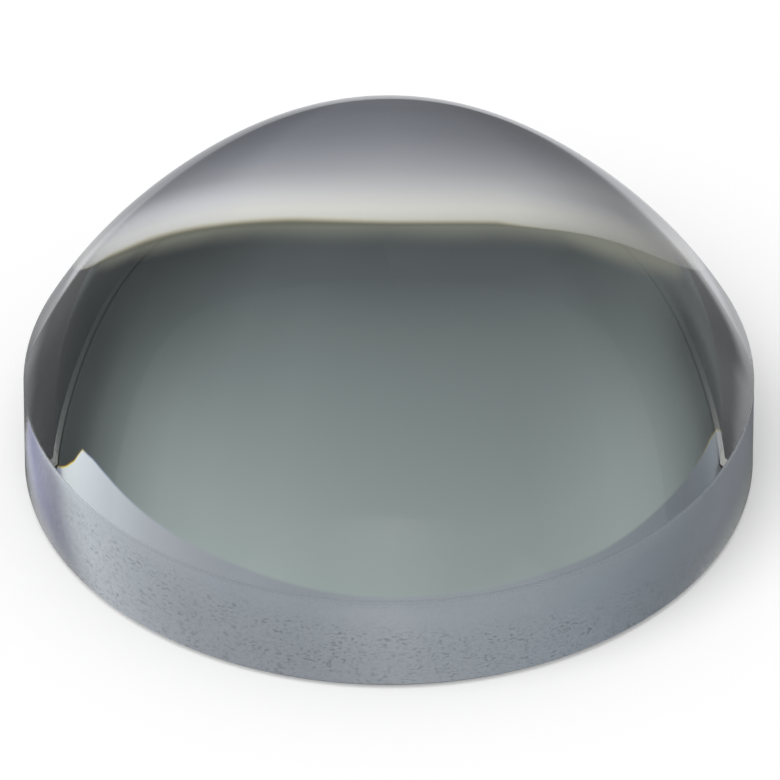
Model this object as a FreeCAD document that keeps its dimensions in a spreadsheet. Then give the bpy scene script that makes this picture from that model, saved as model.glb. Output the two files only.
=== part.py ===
import FreeCAD, Part
import math
import os

import Sketcher

# Aspheric condenser lens: a plano-convex lens moulded in one piece of optical glass. The
# flat face lies on the XY plane and the optical axis is +Z. The side wall is ground to
# the lens diameter, and both of its corners are broken.
#
# The dome is an even asphere. At a distance r from the axis, with u = r / (half the lens
# diameter), its surface lies below the apex by
#     r^2 / (2 * vertex radius) + fourth * u^4 + sixth * u^6 + eighth * u^8

os.makedirs("parts", exist_ok=True)

# What the lens drawing states, in millimetres. Each order's sag is the depth that its
# term adds at the rim, and the edge is measured up to the rim's sharp corner.
drivingSizes = {
    "lens_diameter": 25.0,
    "edge_thickness": 3.7,
    "vertex_radius": 11.4,
    "fourth_order_sag": 7.7,
    "sixth_order_sag": -11.1,
    "eighth_order_sag": 5.9,
    "plano_bevel": 0.2,
    "rim_radius": 0.3,
}

lensRadius = "LensSizes.lens_diameter / 2"
edgeThickness = "LensSizes.edge_thickness"

# Depth that each even power of u adds at the rim.
rimSags = {
    2: "LensSizes.lens_diameter ^ 2 / (8 * LensSizes.vertex_radius)",
    4: "LensSizes.fourth_order_sag",
    6: "LensSizes.sixth_order_sag",
    8: "LensSizes.eighth_order_sag",
}
domeDegree = max(rimSags)

doc = FreeCAD.newDocument("CondenserLens")


def makeSheet(sizes):
    """Name in column A, plain number in column B under an alias of the same name."""
    sheet = doc.addObject("Spreadsheet::Sheet", "LensSizes")
    for row, (name, value) in enumerate(sizes.items(), start=1):
        sheet.set("A%d" % row, name)
        sheet.set("B%d" % row, str(value))
        sheet.setAlias("B%d" % row, name)
    doc.recompute()
    return sheet


def sized(expression):
    """Present value of an expression in the sheet's sizes."""
    return float(sheet.evalExpression(expression))


def originFeature(body, role):
    return next(f for f in body.Origin.OriginFeatures if f.Role == role)


# A sketch numbers the points of a geometry 1, 2 and 3. Geometry -1 starts at its origin
# and geometry -2 is its upright axis.
def startOf(geometry):
    return geometry, 1


def endOf(geometry):
    return geometry, 2


def centreOf(geometry):
    return geometry, 3


def dimension(sketch, kind, first, second, expression):
    """Adds a measured constraint between two points and ties it to the sheet."""
    index = sketch.addConstraint(Sketcher.Constraint(kind, *first, *second, sized(expression)))
    sketch.setExpression("Constraints[%d]" % index, expression)


def poleDistance(index):
    """The poles of a polynomial curve stand evenly from the axis to the rim."""
    return "%s * %d / %d" % (lensRadius, index, domeDegree)


def poleHeight(index):
    """As a Bezier curve, u^n is C(index, n) / C(degree, n) at each pole."""
    terms = [edgeThickness]
    for order, rimSag in rimSags.items():
        whole = math.comb(domeDegree, order)
        missing = whole - math.comb(index, order)
        terms.append("%s * %d / %d" % (rimSag, missing, whole))
    return " + ".join(terms)


def addDome(sketch):
    """The dome's section from the apex to the rim, with its poles tied to the sheet."""
    places = [(poleDistance(index), poleHeight(index)) for index in range(domeDegree + 1)]
    poles = [FreeCAD.Vector(sized(across), sized(up), 0) for across, up in places]
    curve = Part.BSplineCurve()
    endKnots = (domeDegree + 1, domeDegree + 1)
    curve.buildFromPolesMultsKnots(poles, endKnots, (0, 1), False, domeDegree)
    dome = sketch.addGeometry(curve, False)
    apexPole = sketch.GeometryCount
    sketch.exposeInternalGeometry(dome)

    # The last pole is the rim, which the wall holds.
    sketch.addConstraint(Sketcher.Constraint("PointOnObject", *centreOf(apexPole), -2))
    for index, (across, up) in enumerate(places[:-1]):
        pole = centreOf(apexPole + index)
        dimension(sketch, "DistanceY", startOf(-1), pole, up)
        if index > 0:
            dimension(sketch, "DistanceX", startOf(-1), pole, across)
    return dome


def makeMeridian(body):
    """Half section of the glass: flat face, ground wall, dome and the axis."""
    sketch = body.newObject("Sketcher::SketchObject", "Meridian")
    sketch.AttachmentSupport = [(originFeature(body, "XZ_Plane"), "")]
    sketch.MapMode = "FlatFace"

    origin = FreeCAD.Vector(0, 0, 0)
    foot = FreeCAD.Vector(sized(lensRadius), 0, 0)
    rim = foot + FreeCAD.Vector(0, sized(edgeThickness), 0)
    apex = FreeCAD.Vector(0, sized(poleHeight(0)), 0)
    flatFace = sketch.addGeometry(Part.LineSegment(origin, foot), False)
    wall = sketch.addGeometry(Part.LineSegment(foot, rim), False)
    axis = sketch.addGeometry(Part.LineSegment(apex, origin), False)
    dome = addDome(sketch)

    joined = [
        (startOf(-1), startOf(flatFace)),
        (endOf(flatFace), startOf(wall)),
        (endOf(wall), endOf(dome)),
        (startOf(dome), startOf(axis)),
        (endOf(axis), startOf(flatFace)),
    ]
    for first, second in joined:
        sketch.addConstraint(Sketcher.Constraint("Coincident", *first, *second))
    sketch.addConstraint(Sketcher.Constraint("Horizontal", flatFace))
    sketch.addConstraint(Sketcher.Constraint("Vertical", wall))
    dimension(sketch, "DistanceX", startOf(flatFace), endOf(flatFace), lensRadius)
    dimension(sketch, "DistanceY", startOf(wall), endOf(wall), edgeThickness)
    return sketch


def circleAt(shape, height):
    """Name of the edge that runs once round the ground wall at the given height."""
    tolerance = 1e-4
    for index, edge in enumerate(shape.Edges, start=1):
        sameLength = abs(edge.Length - 2 * math.pi * sized(lensRadius)) < tolerance
        sameHeight = abs(edge.CenterOfMass.z - height) < tolerance
        if sameLength and sameHeight:
            return "Edge%d" % index
    raise RuntimeError("no edge runs round the wall at height %g" % height)


def makeLens():
    """Blank turned from the meridian, then its two corners broken."""
    body = doc.addObject("PartDesign::Body", "CondenserLens")
    body.Label = "condenser_lens"
    meridian = makeMeridian(body)
    doc.recompute()

    blank = body.newObject("PartDesign::Revolution", "Blank")
    blank.Profile = meridian
    blank.ReferenceAxis = (meridian, ["V_Axis"])
    blank.Angle = 360
    doc.recompute()

    # The foot of the wall has a protective bevel at 45 degrees.
    bevel = body.newObject("PartDesign::Chamfer", "FootBevel")
    bevel.Base = (blank, [circleAt(blank.Shape, 0)])
    bevel.setExpression("Size", "LensSizes.plano_bevel")
    doc.recompute()

    # The dome meets the wall over a small round.
    rim = body.newObject("PartDesign::Fillet", "RimRound")
    rim.Base = (bevel, [circleAt(bevel.Shape, sized(edgeThickness))])
    rim.setExpression("Radius", "LensSizes.rim_radius")
    body.Tip = rim
    doc.recompute()
    return body


def checkDocument(lens):
    for item in doc.Objects:
        if "Invalid" in item.State or "Error" in item.State:
            raise RuntimeError("%s failed: %s" % (item.Label, item.State))
    if lens.Shape.isNull() or not lens.Shape.isValid():
        raise RuntimeError("%s has no valid shape" % lens.Label)


sheet = makeSheet(drivingSizes)
lens = makeLens()
checkDocument(lens)
lens.Shape.exportStep("parts/%s.step" % lens.Label)

print("%s: %d solid, centre thickness %.3f mm, volume %.1f mm3"
      % (lens.Label, len(lens.Shape.Solids), sized(poleHeight(0)), lens.Shape.Volume))
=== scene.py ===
import math

import bpy
import numpy as np
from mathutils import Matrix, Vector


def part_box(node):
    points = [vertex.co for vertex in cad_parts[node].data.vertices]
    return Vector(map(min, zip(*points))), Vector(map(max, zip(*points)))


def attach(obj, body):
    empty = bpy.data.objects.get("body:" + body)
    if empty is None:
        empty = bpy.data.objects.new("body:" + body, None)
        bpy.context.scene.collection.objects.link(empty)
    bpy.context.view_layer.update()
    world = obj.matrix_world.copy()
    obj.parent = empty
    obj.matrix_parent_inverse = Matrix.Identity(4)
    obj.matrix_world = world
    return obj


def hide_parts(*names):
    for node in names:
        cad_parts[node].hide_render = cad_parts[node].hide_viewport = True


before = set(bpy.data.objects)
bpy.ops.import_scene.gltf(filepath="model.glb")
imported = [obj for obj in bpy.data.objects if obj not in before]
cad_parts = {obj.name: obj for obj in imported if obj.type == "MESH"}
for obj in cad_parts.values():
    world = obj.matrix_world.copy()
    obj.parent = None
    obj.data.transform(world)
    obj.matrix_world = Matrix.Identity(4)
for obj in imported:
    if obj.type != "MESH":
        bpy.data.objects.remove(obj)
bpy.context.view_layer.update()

# The dome is an even asphere. A sag is the depth that its term adds at the rim.
lensShape = {
    "vertexRadius": 0.0114,
    "sagOfOrder": {4: 0.0077, 6: -0.0111, 8: 0.0059},
    "edgeThickness": 0.0037,  # up to the sharp corner that the rim would have
    "rimRadius": 0.0003,
    "footBevel": 0.0002,
    "stepsRound": 360,
    "faceRings": 4,
    "bevelRings": 2,
    "wallRings": 12,
    "rimRings": 10,
    "domeRings": 170,
    "edgeZone": 0.9,  # the rim round starts outside this share of the lens radius
    "edgeSamples": 2001,
    "sharpAngle": 35.0,
}


def domeHeight(radius, lensRadius):
    # Edge thickness plus the sag at the rim, less r^2 / 2R and the terms in (r / lens radius)^n.
    def sag(r):
        sags = lensShape["sagOfOrder"].items()
        terms = [depth * (r / lensRadius) ** order for order, depth in sags]
        return r ** 2 / (2 * lensShape["vertexRadius"]) + sum(terms)
    return lensShape["edgeThickness"] + sag(lensRadius) - sag(radius)


def lensProfile(lensRadius):
    # Half section from the centre of the flat face round to the apex, as runs of (name, radius,
    # height). The rim is an arc that touches both the wall and the dome.
    bevel, rimRadius = lensShape["footBevel"], lensShape["rimRadius"]
    dense = np.linspace(lensShape["edgeZone"], 1.0, lensShape["edgeSamples"]) * lensRadius
    height = domeHeight(dense, lensRadius)
    fall = -np.gradient(height, dense)
    # The dome moved inwards by the rim's radius meets the wall moved inwards by the same.
    offset = dense - rimRadius * fall / np.hypot(fall, 1.0)
    rimCentre = lensRadius - rimRadius
    domeEnd = np.interp(rimCentre, offset, dense)
    fallAtEnd = np.interp(domeEnd, dense, fall)
    rimCentreHeight = domeHeight(domeEnd, lensRadius) - rimRadius / np.hypot(fallAtEnd, 1.0)

    faceRadius = np.linspace(0.0, lensRadius - bevel, lensShape["faceRings"] + 1)
    bevelPart = np.linspace(0.0, bevel, lensShape["bevelRings"] + 1)
    wallHeight = np.linspace(bevel, rimCentreHeight, lensShape["wallRings"] + 1)
    turn = np.linspace(0.0, math.atan2(1.0, fallAtEnd), lensShape["rimRings"] + 1)
    domeRadius = domeEnd * np.linspace(1.0, 0.0, lensShape["domeRings"] + 1)
    return [
        ("flat face", faceRadius, np.zeros_like(faceRadius)),
        ("bevel", lensRadius - bevel + bevelPart, bevelPart),
        ("wall", np.full_like(wallHeight, lensRadius), wallHeight),
        ("rim", rimCentre + rimRadius * np.cos(turn), rimCentreHeight + rimRadius * np.sin(turn)),
        ("dome", domeRadius, domeHeight(domeRadius, lensRadius)),
    ]


def revolve(name, runs, stepsRound):
    # Surface of revolution: (r cos t, r sin t, h) for each ring of the profile and each angle t.
    radius = np.concatenate([run[1][1:] for run in runs])[:-1]
    height = np.concatenate([run[2][1:] for run in runs])[:-1]
    angle = np.arange(stepsRound) * 2 * math.pi / stepsRound
    grid = np.stack([np.outer(radius, np.cos(angle)),
                     np.outer(radius, np.sin(angle)),
                     np.repeat(height[:, None], stepsRound, axis=1)], axis=-1).reshape(-1, 3)
    ringCount = len(radius)
    foot, apex = ringCount * stepsRound, ringCount * stepsRound + 1
    points = np.vstack([grid, [0.0, 0.0, runs[0][2][0]], [0.0, 0.0, runs[-1][2][-1]]])

    ring = np.arange(ringCount - 1)[:, None] * stepsRound
    step = np.arange(stepsRound)[None, :]
    following = (step + 1) % stepsRound
    nextRing = ring + stepsRound
    quads = np.stack([ring + step, ring + following,
                      nextRing + following, nextRing + step], axis=-1).reshape(-1, 4)
    step, following = step[0], following[0]
    lastRing = (ringCount - 1) * stepsRound
    footFan = np.stack([np.full(stepsRound, foot), following, step], axis=-1)
    apexFan = np.stack([lastRing + step, lastRing + following, np.full(stepsRound, apex)], axis=-1)

    mesh = bpy.data.meshes.new(name)
    mesh.from_pydata(points.tolist(), [], footFan.tolist() + quads.tolist() + apexFan.tolist())
    spans = np.concatenate([np.full(len(run[1]) - 1, index) for index, run in enumerate(runs)])
    runOfFace = np.repeat(spans, stepsRound)
    piece = bpy.data.objects.new(name, mesh)
    bpy.context.scene.collection.objects.link(piece)
    return piece, runOfFace


def newNode(tree, kind, **settings):
    node = tree.nodes.new("ShaderNode" + kind)
    for name, value in settings.items():
        setattr(node, name, value)
    return node


def feed(tree, socket, value):
    if isinstance(value, bpy.types.NodeSocket):
        tree.links.new(value, socket)
    else:
        socket.default_value = value


def calculate(tree, operation, *values):
    node = newNode(tree, "Math", operation=operation)
    for socket, value in zip(node.inputs, values):
        feed(tree, socket, value)
    return node.outputs[0]


def remap(tree, value, fromLow, fromHigh, toLow, toHigh, curve="SMOOTHSTEP"):
    node = newNode(tree, "MapRange", interpolation_type=curve)
    for socket, item in zip(node.inputs, (value, fromLow, fromHigh, toLow, toHigh)):
        feed(tree, socket, item)
    return node.outputs[0]


def ramp(tree, value, stops):
    # Stops are (place, colour or grey level), in the order of their places.
    low, high = stops[0][0], stops[-1][0]
    node = newNode(tree, "ValToRGB")
    elements = node.color_ramp.elements
    while len(elements) < len(stops):
        elements.new(1.0)
    for element, (place, colour) in zip(elements, stops):
        if not isinstance(colour, tuple):
            colour = (colour, colour, colour)
        element.position = (place - low) / (high - low)
        element.color = (*colour, 1.0)
    feed(tree, node.inputs[0], remap(tree, value, low, high, 0.0, 1.0, "LINEAR"))
    return node.outputs[0]


def mixColour(tree, amount, first, second, blend="MIX"):
    # A Mix node has its colours in sockets 6 and 7 and gives the colour in output 2.
    node = newNode(tree, "Mix", data_type="RGBA", blend_type=blend)
    feed(tree, node.inputs["Factor"], amount)
    feed(tree, node.inputs[6], first)
    feed(tree, node.inputs[7], second)
    return node.outputs[2]


glassIndex = 1.583

polish = {
    "colour": (0.985, 0.992, 0.988, 1.0),
    "roughness": 0.0,
}


def glassMaterial(name):
    material = bpy.data.materials.new(name)
    material.use_nodes = True
    shader = material.node_tree.nodes["Principled BSDF"]
    shader.inputs["IOR"].default_value = glassIndex
    shader.inputs["Transmission Weight"].default_value = 1.0
    return material, shader


def polishedGlass():
    material, shader = glassMaterial("polishedGlass")
    shader.inputs["Base Color"].default_value = polish["colour"]
    shader.inputs["Roughness"].default_value = polish["roughness"]
    return material


grinding = {
    "clearColour": (0.97, 0.98, 1.0, 1.0),
    "greyColour": (0.92, 0.95, 0.965, 1.0),
    "fleckColour": (0.38, 0.405, 0.415, 1.0),
    "patchScale": 450.0,
    "patchShare": (0.4, 0.6),
    "fleckScale": 7000.0,
    "fleckStretch": (1.0, 1.0, 2.0),
    "fleckShare": (0.525, 0.645),
    "clusterScale": 1600.0,
    "clusterShare": (0.36, 0.60),
    "fewestFlecks": 0.5,
    "slope": 0.08,  # the grinding reaches higher towards -X
    "fleckFade": (0.0031, 0.0021),  # heights between which the flecks come in
    "grainScale": 15000.0,
    "grainShare": (0.3, 0.7),
    "grain": (0.84, 1.0),
    "roughness": (0.05, 0.26),  # at the top and at the foot of the wall
    "roughFade": (0.0034, 0.0010),
    "rimRoughness": 0.3,
    "rimStart": (0.00356, 0.00361),
    "bumpHeight": 0.000006,
}


def noise(tree, place, scale, detail):
    # Even noise over the surface, from 0 to 1, with the given number of finer octaves.
    node = newNode(tree, "TexNoise")
    feed(tree, node.inputs["Vector"], place)
    feed(tree, node.inputs["Scale"], scale)
    feed(tree, node.inputs["Detail"], detail)
    return node.outputs["Fac"]


def groundGlass():
    material, shader = glassMaterial("groundGlass")
    tree = material.node_tree
    place = newNode(tree, "TexCoord").outputs["Object"]
    split = newNode(tree, "SeparateXYZ")
    feed(tree, split.inputs[0], place)
    x, _, z = split.outputs

    patchNoise = noise(tree, place, grinding["patchScale"], detail=2.0)
    patches = remap(tree, patchNoise, *grinding["patchShare"], 0.0, 1.0)
    colour = mixColour(tree, patches, grinding["clearColour"], grinding["greyColour"])
    level = calculate(tree, "MULTIPLY_ADD", x, grinding["slope"], z)
    below = remap(tree, level, *grinding["fleckFade"], 0.0, 1.0)
    clusterNoise = noise(tree, place, grinding["clusterScale"], detail=2.0)
    clusters = remap(tree, clusterNoise, *grinding["clusterShare"], grinding["fewestFlecks"], 1.0)
    stretched = newNode(tree, "VectorMath", operation="MULTIPLY")
    feed(tree, stretched.inputs[0], place)
    feed(tree, stretched.inputs[1], grinding["fleckStretch"])
    fleckNoise = noise(tree, stretched.outputs[0], grinding["fleckScale"], detail=3.0)
    flecks = remap(tree, fleckNoise, *grinding["fleckShare"], 0.0, 1.0)
    flecks = calculate(tree, "MULTIPLY", flecks, clusters)
    flecks = calculate(tree, "MULTIPLY", flecks, below)
    colour = mixColour(tree, flecks, colour, grinding["fleckColour"])
    grainNoise = noise(tree, place, grinding["grainScale"], detail=1.0)
    grain = remap(tree, grainNoise, *grinding["grainShare"], *grinding["grain"], "LINEAR")
    colour = mixColour(tree, 1.0, colour, grain, "MULTIPLY")
    feed(tree, shader.inputs["Base Color"], colour)
    wallRoughness = remap(tree, z, *grinding["roughFade"], *grinding["roughness"])
    rimRoughness = remap(tree, z, *grinding["rimStart"], 0.0, grinding["rimRoughness"])
    feed(tree, shader.inputs["Roughness"], calculate(tree, "MAXIMUM", wallRoughness, rimRoughness))

    bump = newNode(tree, "Bump")
    feed(tree, bump.inputs["Height"], calculate(tree, "MULTIPLY", fleckNoise, below))
    feed(tree, bump.inputs["Distance"], grinding["bumpHeight"])
    tree.links.new(bump.outputs["Normal"], shader.inputs["Normal"])
    return material


def makeLens():
    lowest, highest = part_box("condenser_lens")
    runs = lensProfile((highest.x - lowest.x) / 2)
    lens, runOfFace = revolve("condenserLens", runs, lensShape["stepsRound"])
    lens.data.materials.append(polishedGlass())
    lens.data.materials.append(groundGlass())
    groundRuns = [index for index, run in enumerate(runs) if run[0] in ("bevel", "wall", "rim")]
    isGround = np.isin(runOfFace, groundRuns)
    lens.data.polygons.foreach_set("material_index", isGround.astype(np.int32))
    lens.data.polygons.foreach_set("use_smooth", np.ones(len(runOfFace), dtype=bool))
    lens.data.set_sharp_from_angle(angle=math.radians(lensShape["sharpAngle"]))
    lens.data.update()
    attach(lens, "root")
    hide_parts("condenser_lens")
    print("lens made,", len(lens.data.polygons), "faces")


white = (1.0, 1.0, 1.0, 1.0)

# The studio as it shows through the glass. Heights are degrees above the horizon, and sides
# are degrees round from straight behind the lens towards +X. The stops of the ceiling and the
# floor give linear colours by height. All other stops go by side: the sweep's give colours, those
# of an edge, an end or a top give heights, and those named Side give shares of a colour.
studio = {
    "ceiling": [(20, (0.335, 0.391, 0.385)), (26, (0.319, 0.374, 0.367)),
                (31, (0.294, 0.341, 0.336)), (36, (0.247, 0.290, 0.286)),
                (43, (0.183, 0.214, 0.214)), (48, (0.136, 0.158, 0.161)),
                (53, (0.089, 0.103, 0.108)), (58, (0.069, 0.078, 0.083)),
                (90, (0.065, 0.074, 0.079))],
    "ceilingSideLow": [(-180, 1.0), (-150, 0.80), (-112, 0.75), (-98, 0.50), (-88, 0.28),
                       (-80, 0.31), (-74, 0.15), (-68, 0.15), (-63, 0.25), (-58, 0.42),
                       (-52, 0.60), (-47, 0.76), (-41, 0.87), (-35, 0.92), (-20, 0.87), (0, 1.0),
                       (15, 1.08), (27, 1.06), (35, 0.97), (42, 0.75), (50, 0.45), (53, 0.37),
                       (57, 0.23), (61, 0.155), (66, 0.12), (72, 0.105), (88, 0.115), (98, 0.50),
                       (112, 0.75), (150, 0.80), (180, 1.0)],
    "ceilingSideHigh": [(-180, 1.0), (-110, 0.80), (-90, 0.55), (-75, 0.52), (-60, 0.56),
                        (-45, 0.65), (-35, 0.82), (-20, 0.90), (0, 1.0), (15, 1.05), (27, 0.92),
                        (37, 0.66), (47, 0.44), (57, 0.28), (68, 0.15), (88, 0.19), (110, 0.75),
                        (180, 1.0)],
    "ceilingBlend": (34, 48),
    "glow": (0.205, 0.210, 0.172),
    "glowEdge": [(-180, 61), (-145, 58), (-115, 45), (-92, 35.5), (-73, 45), (-59, 50.5),
                 (-47, 55.5), (-36, 58), (-27, 59.3), (0, 61), (27, 59.5), (36, 58.5), (47, 56.3),
                 (59, 52.7), (73, 48), (92, 37), (115, 45), (145, 58), (180, 61)],
    "glowFade": 2.5,
    "sweepTop": [(-180, -10), (-90, 4), (-80, 10), (-75, 14.6), (-70, 19.2), (-65, 21),
                 (-55, 22.4), (-45, 23.5), (-31, 24.4), (-21, 25.4), (-8, 25.9), (0, 25.9),
                 (20, 26.3), (48, 25.6), (53, 25.2), (58, 24), (60, 21), (65, 16.4), (70, 12.3),
                 (80, 4), (90, 0), (180, -10)],
    "sweepFade": 0.25,
    "sweepHigh": [(-180, (0.10, 0.12, 0.13)), (-85, (0.14, 0.16, 0.18)), (-78, (0.30, 0.32, 0.34)),
                  (-67, (0.27, 0.30, 0.34)), (-60, (0.185, 0.21, 0.24)),
                  (-52, (0.165, 0.185, 0.205)), (-42, (0.19, 0.22, 0.24)),
                  (-27, (0.24, 0.27, 0.30)), (-12, (0.295, 0.330, 0.355)),
                  (0, (0.315, 0.345, 0.375)), (10, (0.285, 0.315, 0.345)),
                  (20, (0.300, 0.330, 0.365)), (27, (0.34, 0.36, 0.40)), (37, (0.42, 0.45, 0.49)),
                  (47, (0.58, 0.63, 0.68)), (57, (0.79, 0.85, 0.90)), (62, (0.90, 0.96, 1.00)),
                  (68, (1.0, 1.04, 1.08)), (75, (0.95, 0.98, 1.0)), (90, (0.30, 0.32, 0.36)),
                  (180, (0.10, 0.12, 0.13))],
    "sweepLow": [(-180, (0.10, 0.12, 0.13)), (-80, (0.09, 0.10, 0.12)), (-66, (0.14, 0.15, 0.18)),
                 (-55, (0.155, 0.17, 0.20)), (-47, (0.15, 0.17, 0.195)),
                 (-37, (0.175, 0.200, 0.230)), (-27, (0.225, 0.255, 0.290)),
                 (-17, (0.280, 0.310, 0.345)), (-2, (0.325, 0.350, 0.375)),
                 (12, (0.280, 0.305, 0.335)), (27, (0.305, 0.330, 0.360)),
                 (37, (0.41, 0.44, 0.48)), (47, (0.56, 0.60, 0.64)), (52, (0.48, 0.51, 0.56)),
                 (57, (0.22, 0.225, 0.30)), (63, (0.17, 0.175, 0.32)), (68, (0.26, 0.27, 0.50)),
                 (73, (0.80, 0.82, 1.05)), (82, (1.20, 1.22, 1.45)), (100, (0.12, 0.13, 0.16)),
                 (180, (0.10, 0.12, 0.13))],
    "sweepBlend": (11, 14.5),
    # The floor's colours by height and its side shares paint the lens's shadow on the floor as the
    # glass sees it: darker straight below and close to the lens, lighter further out.
    "floor": [(-90, (0.130, 0.138, 0.162)), (-62, (0.140, 0.148, 0.175)),
              (-52, (0.178, 0.188, 0.220)), (-47, (0.203, 0.212, 0.242)),
              (-42, (0.250, 0.258, 0.294)), (-37, (0.315, 0.322, 0.358)),
              (-32, (0.405, 0.410, 0.438)), (-27, (0.545, 0.550, 0.570)),
              (-22, (0.700, 0.700, 0.698)), (-17, (0.820, 0.815, 0.775)), (-8, (0.84, 0.83, 0.78)),
              (-3, (1.0, 0.98, 0.92))],
    "floorSideNear": [(-180, 1.0), (-170, 0.80), (-160, 0.16), (-152, 0.15), (-143, 0.35),
                      (-133, 0.55), (-125, 1.5), (-105, 0.60), (-75, 0.70), (-60, 0.66),
                      (-50, 0.52), (-42, 0.59), (-35, 0.67), (-27, 0.80), (0, 1.0),
                      (25, (1.02, 1.02, 1.04)), (35, (0.83, 0.84, 0.87)), (50, (0.68, 0.69, 0.72)),
                      (62, 0.78), (80, 0.7), (100, 0.3), (116, 0.3), (124, 1.2), (133, 1.1),
                      (142, 0.15), (150, 0.05), (160, 0.06), (170, 0.80), (180, 1.0)],
    "floorSideFar": [(-180, 1.0), (-160, 0.18), (-148, 0.06), (-141, 0.42), (-136, 0.58),
                     (-130, 0.55), (-118, 0.42), (-105, 0.14), (-75, 0.60), (-53, 0.64),
                     (-48, (0.43, 0.43, 0.45)), (-44, (0.39, 0.39, 0.41)),
                     (-35, (0.53, 0.53, 0.55)), (-27, (0.69, 0.69, 0.71)), (-18, 0.86), (5, 1.02),
                     (20, (1.07, 1.07, 1.09)), (30, (1.04, 1.05, 1.11)), (42, (1.02, 1.03, 1.09)),
                     (50, (1.08, 1.09, 1.16)), (55, (0.94, 0.95, 1.01)), (60, 0.76), (67, 0.95),
                     (80, 1.1), (92, 0.6), (100, 0.2), (125, 0.08), (132, 0.40), (138, 0.48),
                     (150, 0.18), (160, 0.15), (180, 1.0)],
    "floorBlend": (-33, -23),
    "aheadSide": 80,  # how far round the floor ahead of the camera goes
    "lowDown": (-54, -42),
    "straightBelow": (-82, -66),
    "evenShare": 0.7,  # share of the floor's colour where all sides are alike
    "floorEnd": [(-180, 2), (-90, 3), (-60, 4), (-50, 3), (-40, 0), (-22, -1), (-14, -8),
                 (0, -8.5), (12, -10.5), (25, -9.5), (38, -10.5), (45, -9.5), (51, -3), (60, 3),
                 (92, 3), (180, 2)],
    "floorFade": 3.0,
    "behindFloor": (0.105, 0.110, 0.088),
    "floorSpread": -0.40,  # degrees between the colours at the floor's end
    "sweepSpread": (55, 60, 0.03, -0.20),  # the same at the sweep's top, inside and past two sides
    "colourShift": (0.4, 0.0, -1.0),  # red, green and blue, in shares of a spread
    "horizon": (-0.5, 0.5),
    "softLevel": 0.5,
}

# What the outside of the glass reflects: pale floor, darker close by with the lens's painted
# shadow, and a dim room beyond it.
# All stops go by side, in grey levels or, for the floor's end, in heights.
reflected = {
    # Painted shadow of the lens on the floor close by it, as the outside of the glass reflects it.
    "shadowedFloorNear": [(-180, 0.50), (-60, 0.46), (-47, 0.48), (-39, 0.75), (-33, 0.60), (-28, 0.42),
                  (-16, 0.20), (0, 0.16), (15, 0.18), (30, 0.23), (66, 0.32), (180, 0.50)],
    "floor": [(-180, 0.55), (-20, 0.52), (-12, 0.42), (-6, 0.52), (-2, 0.70), (4, 0.74), (9, 0.64),
              (16, 0.78), (24, 0.88), (60, 0.85), (180, 0.55)],
    "nearBlend": (-36, -33),
    "room": [(-180, 0.14), (-90, 0.12), (-25, 0.11), (0, 0.18), (60, 0.22), (180, 0.14)],
    "tint": (0.99, 1.0, 1.03, 1.0),
    "floorEnd": [(-180, -15), (-70, -14), (-46, -15.5), (-42, -16), (-36, -18.5), (-31, -20),
                 (-26, -22.5), (-20, -21), (-14, -21), (-5, -20), (0, -20), (4, -22), (8, -24),
                 (13, -22), (18, -19.5), (30, -19.5), (36, -18), (42, -14), (55, -10), (180, -15)],
    "floorFade": 2.0,
}


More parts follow.
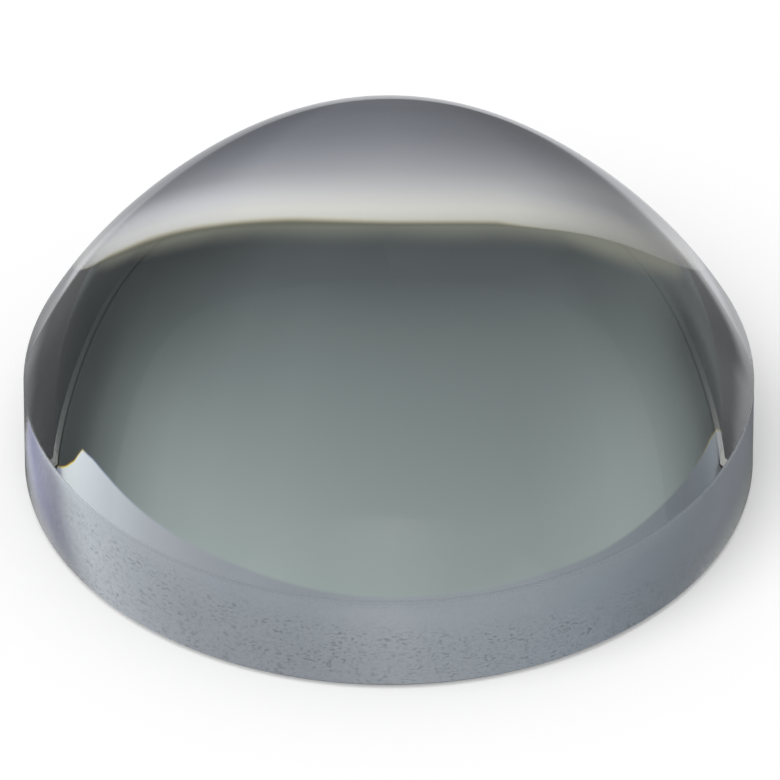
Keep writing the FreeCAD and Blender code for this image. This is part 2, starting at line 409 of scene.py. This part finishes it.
def makeStudio():
    world = bpy.data.worlds.new("studio")
    bpy.context.scene.world = world
    world.use_nodes = True
    tree = world.node_tree
    tree.nodes.clear()
    direction = newNode(tree, "SeparateXYZ")
    tree.links.new(newNode(tree, "TexCoord").outputs["Generated"], direction.inputs[0])
    x, y, z = direction.outputs
    height = calculate(tree, "DEGREES", calculate(tree, "ARCSINE", z))
    side = calculate(tree, "DEGREES", calculate(tree, "ARCTAN2", x, y))

    def aside(stops):
        # Looks up the stops at the side that the ray goes to.
        return ramp(tree, side, stops)

    def between(heights, below, above):
        # Blends from below to above over a range of heights.
        return mixColour(tree, remap(tree, height, *heights, 0.0, 1.0), below, above)

    def shaded(heightStops, sideShare):
        # Colour by height, times a share by side.
        return mixColour(tree, 1.0, ramp(tree, height, heightStops), sideShare, "MULTIPLY")

    def pastEdge(edgeStops, softness, spread, below, above):
        # Blends from below to above across an edge whose height changes with the side. The
        # glass bends blue more than red, so each colour meets the edge at its own height.
        lowest, reach = -90.0, 180.0  # a ramp holds shares from 0 to 1, not heights
        places = [(place, (edge - lowest) / reach) for place, edge in edgeStops]
        edge = calculate(tree, "MULTIPLY_ADD", aside(places), reach, lowest)
        over = calculate(tree, "SUBTRACT", height, edge)
        share = newNode(tree, "CombineXYZ")
        for socket, shift in zip(share.inputs, studio["colourShift"]):
            shifted = calculate(tree, "MULTIPLY_ADD", spread, shift, over)
            feed(tree, socket, remap(tree, shifted, -softness, softness, 0.0, 1.0))
        # A Mix node has its vector share in socket 1 and its vectors in sockets 4 and 5.
        node = newNode(tree, "Mix", data_type="VECTOR", factor_mode="NON_UNIFORM")
        for index, value in ((1, share.outputs[0]), (4, below), (5, above)):
            feed(tree, node.inputs[index], value)
        return node.outputs[1]

    floorSide = between(studio["floorBlend"], aside(studio["floorSideNear"]),
                        aside(studio["floorSideFar"]))
    # Low down, only the sides ahead keep their shading, and straight below the lens all sides
    # run together.
    ahead = [stop for stop in studio["floorSideNear"] if abs(stop[0]) <= studio["aheadSide"]]
    even = studio["evenShare"]
    floorSide = between(studio["lowDown"], aside([(-180, even), *ahead, (180, even)]), floorSide)
    floorSide = between(studio["straightBelow"], (even, even, even, 1.0), floorSide)
    ground = pastEdge(studio["floorEnd"], studio["floorFade"], studio["floorSpread"],
                      shaded(studio["floor"], floorSide), studio["behindFloor"])
    sweep = between(studio["sweepBlend"], aside(studio["sweepLow"]), aside(studio["sweepHigh"]))
    room = between(studio["horizon"], ground, sweep)
    lowCeiling, highCeiling = aside(studio["ceilingSideLow"]), aside(studio["ceilingSideHigh"])
    ceilingSide = between(studio["ceilingBlend"], lowCeiling, highCeiling)
    sweepSpread = remap(tree, calculate(tree, "ABSOLUTE", side), *studio["sweepSpread"])
    room = pastEdge(studio["sweepTop"], studio["sweepFade"], sweepSpread, room,
                    shaded(studio["ceiling"], ceilingSide))
    room = pastEdge(studio["glowEdge"], studio["glowFade"], 0.0, room, studio["glow"])

    floorSeen = between(reflected["nearBlend"], aside(reflected["shadowedFloorNear"]),
                        aside(reflected["floor"]))
    mirrored = pastEdge(reflected["floorEnd"], reflected["floorFade"], 0.0, floorSeen,
                        aside(reflected["room"]))
    mirrored = mixColour(tree, 1.0, mirrored, reflected["tint"], "MULTIPLY")
    rays = newNode(tree, "LightPath")
    seenInGlass = newNode(tree, "Background")
    feed(tree, seenInGlass.inputs["Color"],
         mixColour(tree, rays.outputs["Is Transmission Ray"], mirrored, room))

    softLight = newNode(tree, "Background")
    feed(tree, softLight.inputs["Strength"], studio["softLevel"])
    feed(tree, softLight.inputs["Color"], white)
    backdrop = newNode(tree, "Background")
    feed(tree, backdrop.inputs["Color"], white)

    # Matt surfaces get the soft light, the glass gets the studio, and the camera sees white.
    lit = newNode(tree, "MixShader")
    feed(tree, lit.inputs[0], rays.outputs["Is Diffuse Ray"])
    tree.links.new(seenInGlass.outputs[0], lit.inputs[1])
    tree.links.new(softLight.outputs[0], lit.inputs[2])
    shown = newNode(tree, "MixShader")
    feed(tree, shown.inputs[0], rays.outputs["Is Camera Ray"])
    tree.links.new(lit.outputs[0], shown.inputs[1])
    tree.links.new(backdrop.outputs[0], shown.inputs[2])
    tree.links.new(shown.outputs[0], newNode(tree, "OutputWorld").inputs["Surface"])


keyLight = {
    "height": 60.0,
    "side": 215.0,
    "softness": 60.0,
    "level": 0.5,
}


def makeKeyLight():
    # A lamp as wide as a large soft box. The level is what it adds on the floor.
    height, side = math.radians(keyLight["height"]), math.radians(keyLight["side"])
    lamp = bpy.data.lights.new("softBox", "SUN")
    lamp.angle = math.radians(keyLight["softness"])
    lamp.energy = keyLight["level"] * math.pi / math.sin(height)
    piece = bpy.data.objects.new("softBox", lamp)
    piece.rotation_euler = (math.pi / 2 - height, 0.0, math.pi - side)
    piece.visible_glossy = False
    piece.visible_transmission = False
    bpy.context.scene.collection.objects.link(piece)


floor = {
    "radius": 1.5,
    "corners": 96,
    "gap": 0.00002,
    "colour": (0.80, 0.80, 0.80, 1.0),
    "roughness": 0.9,
    "lift": 0.23,  # what the camera sees on top of the lit colour
}


def makeFloor():
    # A disc just below the lens: (r cos t, r sin t) for each corner's angle t.
    angle = np.arange(floor["corners"]) * 2 * math.pi / floor["corners"]
    rim = np.stack([floor["radius"] * np.cos(angle), floor["radius"] * np.sin(angle),
                    np.full_like(angle, -floor["gap"])], axis=-1)
    mesh = bpy.data.meshes.new("floor")
    mesh.from_pydata(rim.tolist(), [], [list(range(len(rim)))])
    piece = bpy.data.objects.new("floor", mesh)
    bpy.context.scene.collection.objects.link(piece)
    piece.visible_glossy = False
    piece.visible_transmission = False

    material = bpy.data.materials.new("paleFloor")
    material.use_nodes = True
    tree = material.node_tree
    shader = tree.nodes["Principled BSDF"]
    shader.inputs["Base Color"].default_value = floor["colour"]
    shader.inputs["Roughness"].default_value = floor["roughness"]
    shader.inputs["Specular IOR Level"].default_value = 0.0
    shader.inputs["Emission Color"].default_value = white
    isSeen = newNode(tree, "LightPath").outputs["Is Camera Ray"]
    lift = calculate(tree, "MULTIPLY", isSeen, floor["lift"])
    feed(tree, shader.inputs["Emission Strength"], lift)
    mesh.materials.append(material)


cameraView = {
    "elevation": 37.65,
    "distance": 0.5625,
    "lens": 758.3,
    "sensor": 36.0,
    "clipStart": 0.01,
    "aim": (0.00004, 0.0, 0.003087),
}


def makeCamera():
    elevation = math.radians(cameraView["elevation"])
    data = bpy.data.cameras.new("camera")
    data.lens = cameraView["lens"]
    data.sensor_width = cameraView["sensor"]
    data.clip_start = cameraView["clipStart"]
    camera = bpy.data.objects.new("camera", data)
    aimX, aimY, aimZ = cameraView["aim"]
    reach = cameraView["distance"]
    camera.location = (aimX, aimY - reach * math.cos(elevation), aimZ + reach * math.sin(elevation))
    camera.rotation_euler = (math.pi / 2 - elevation, 0.0, 0.0)
    bpy.context.scene.collection.objects.link(camera)
    bpy.context.scene.camera = camera


bpy.context.scene.view_settings.view_transform = "Standard"
makeCamera()
makeStudio()
makeKeyLight()
makeFloor()
print("camera, studio, light and floor made")
makeLens()
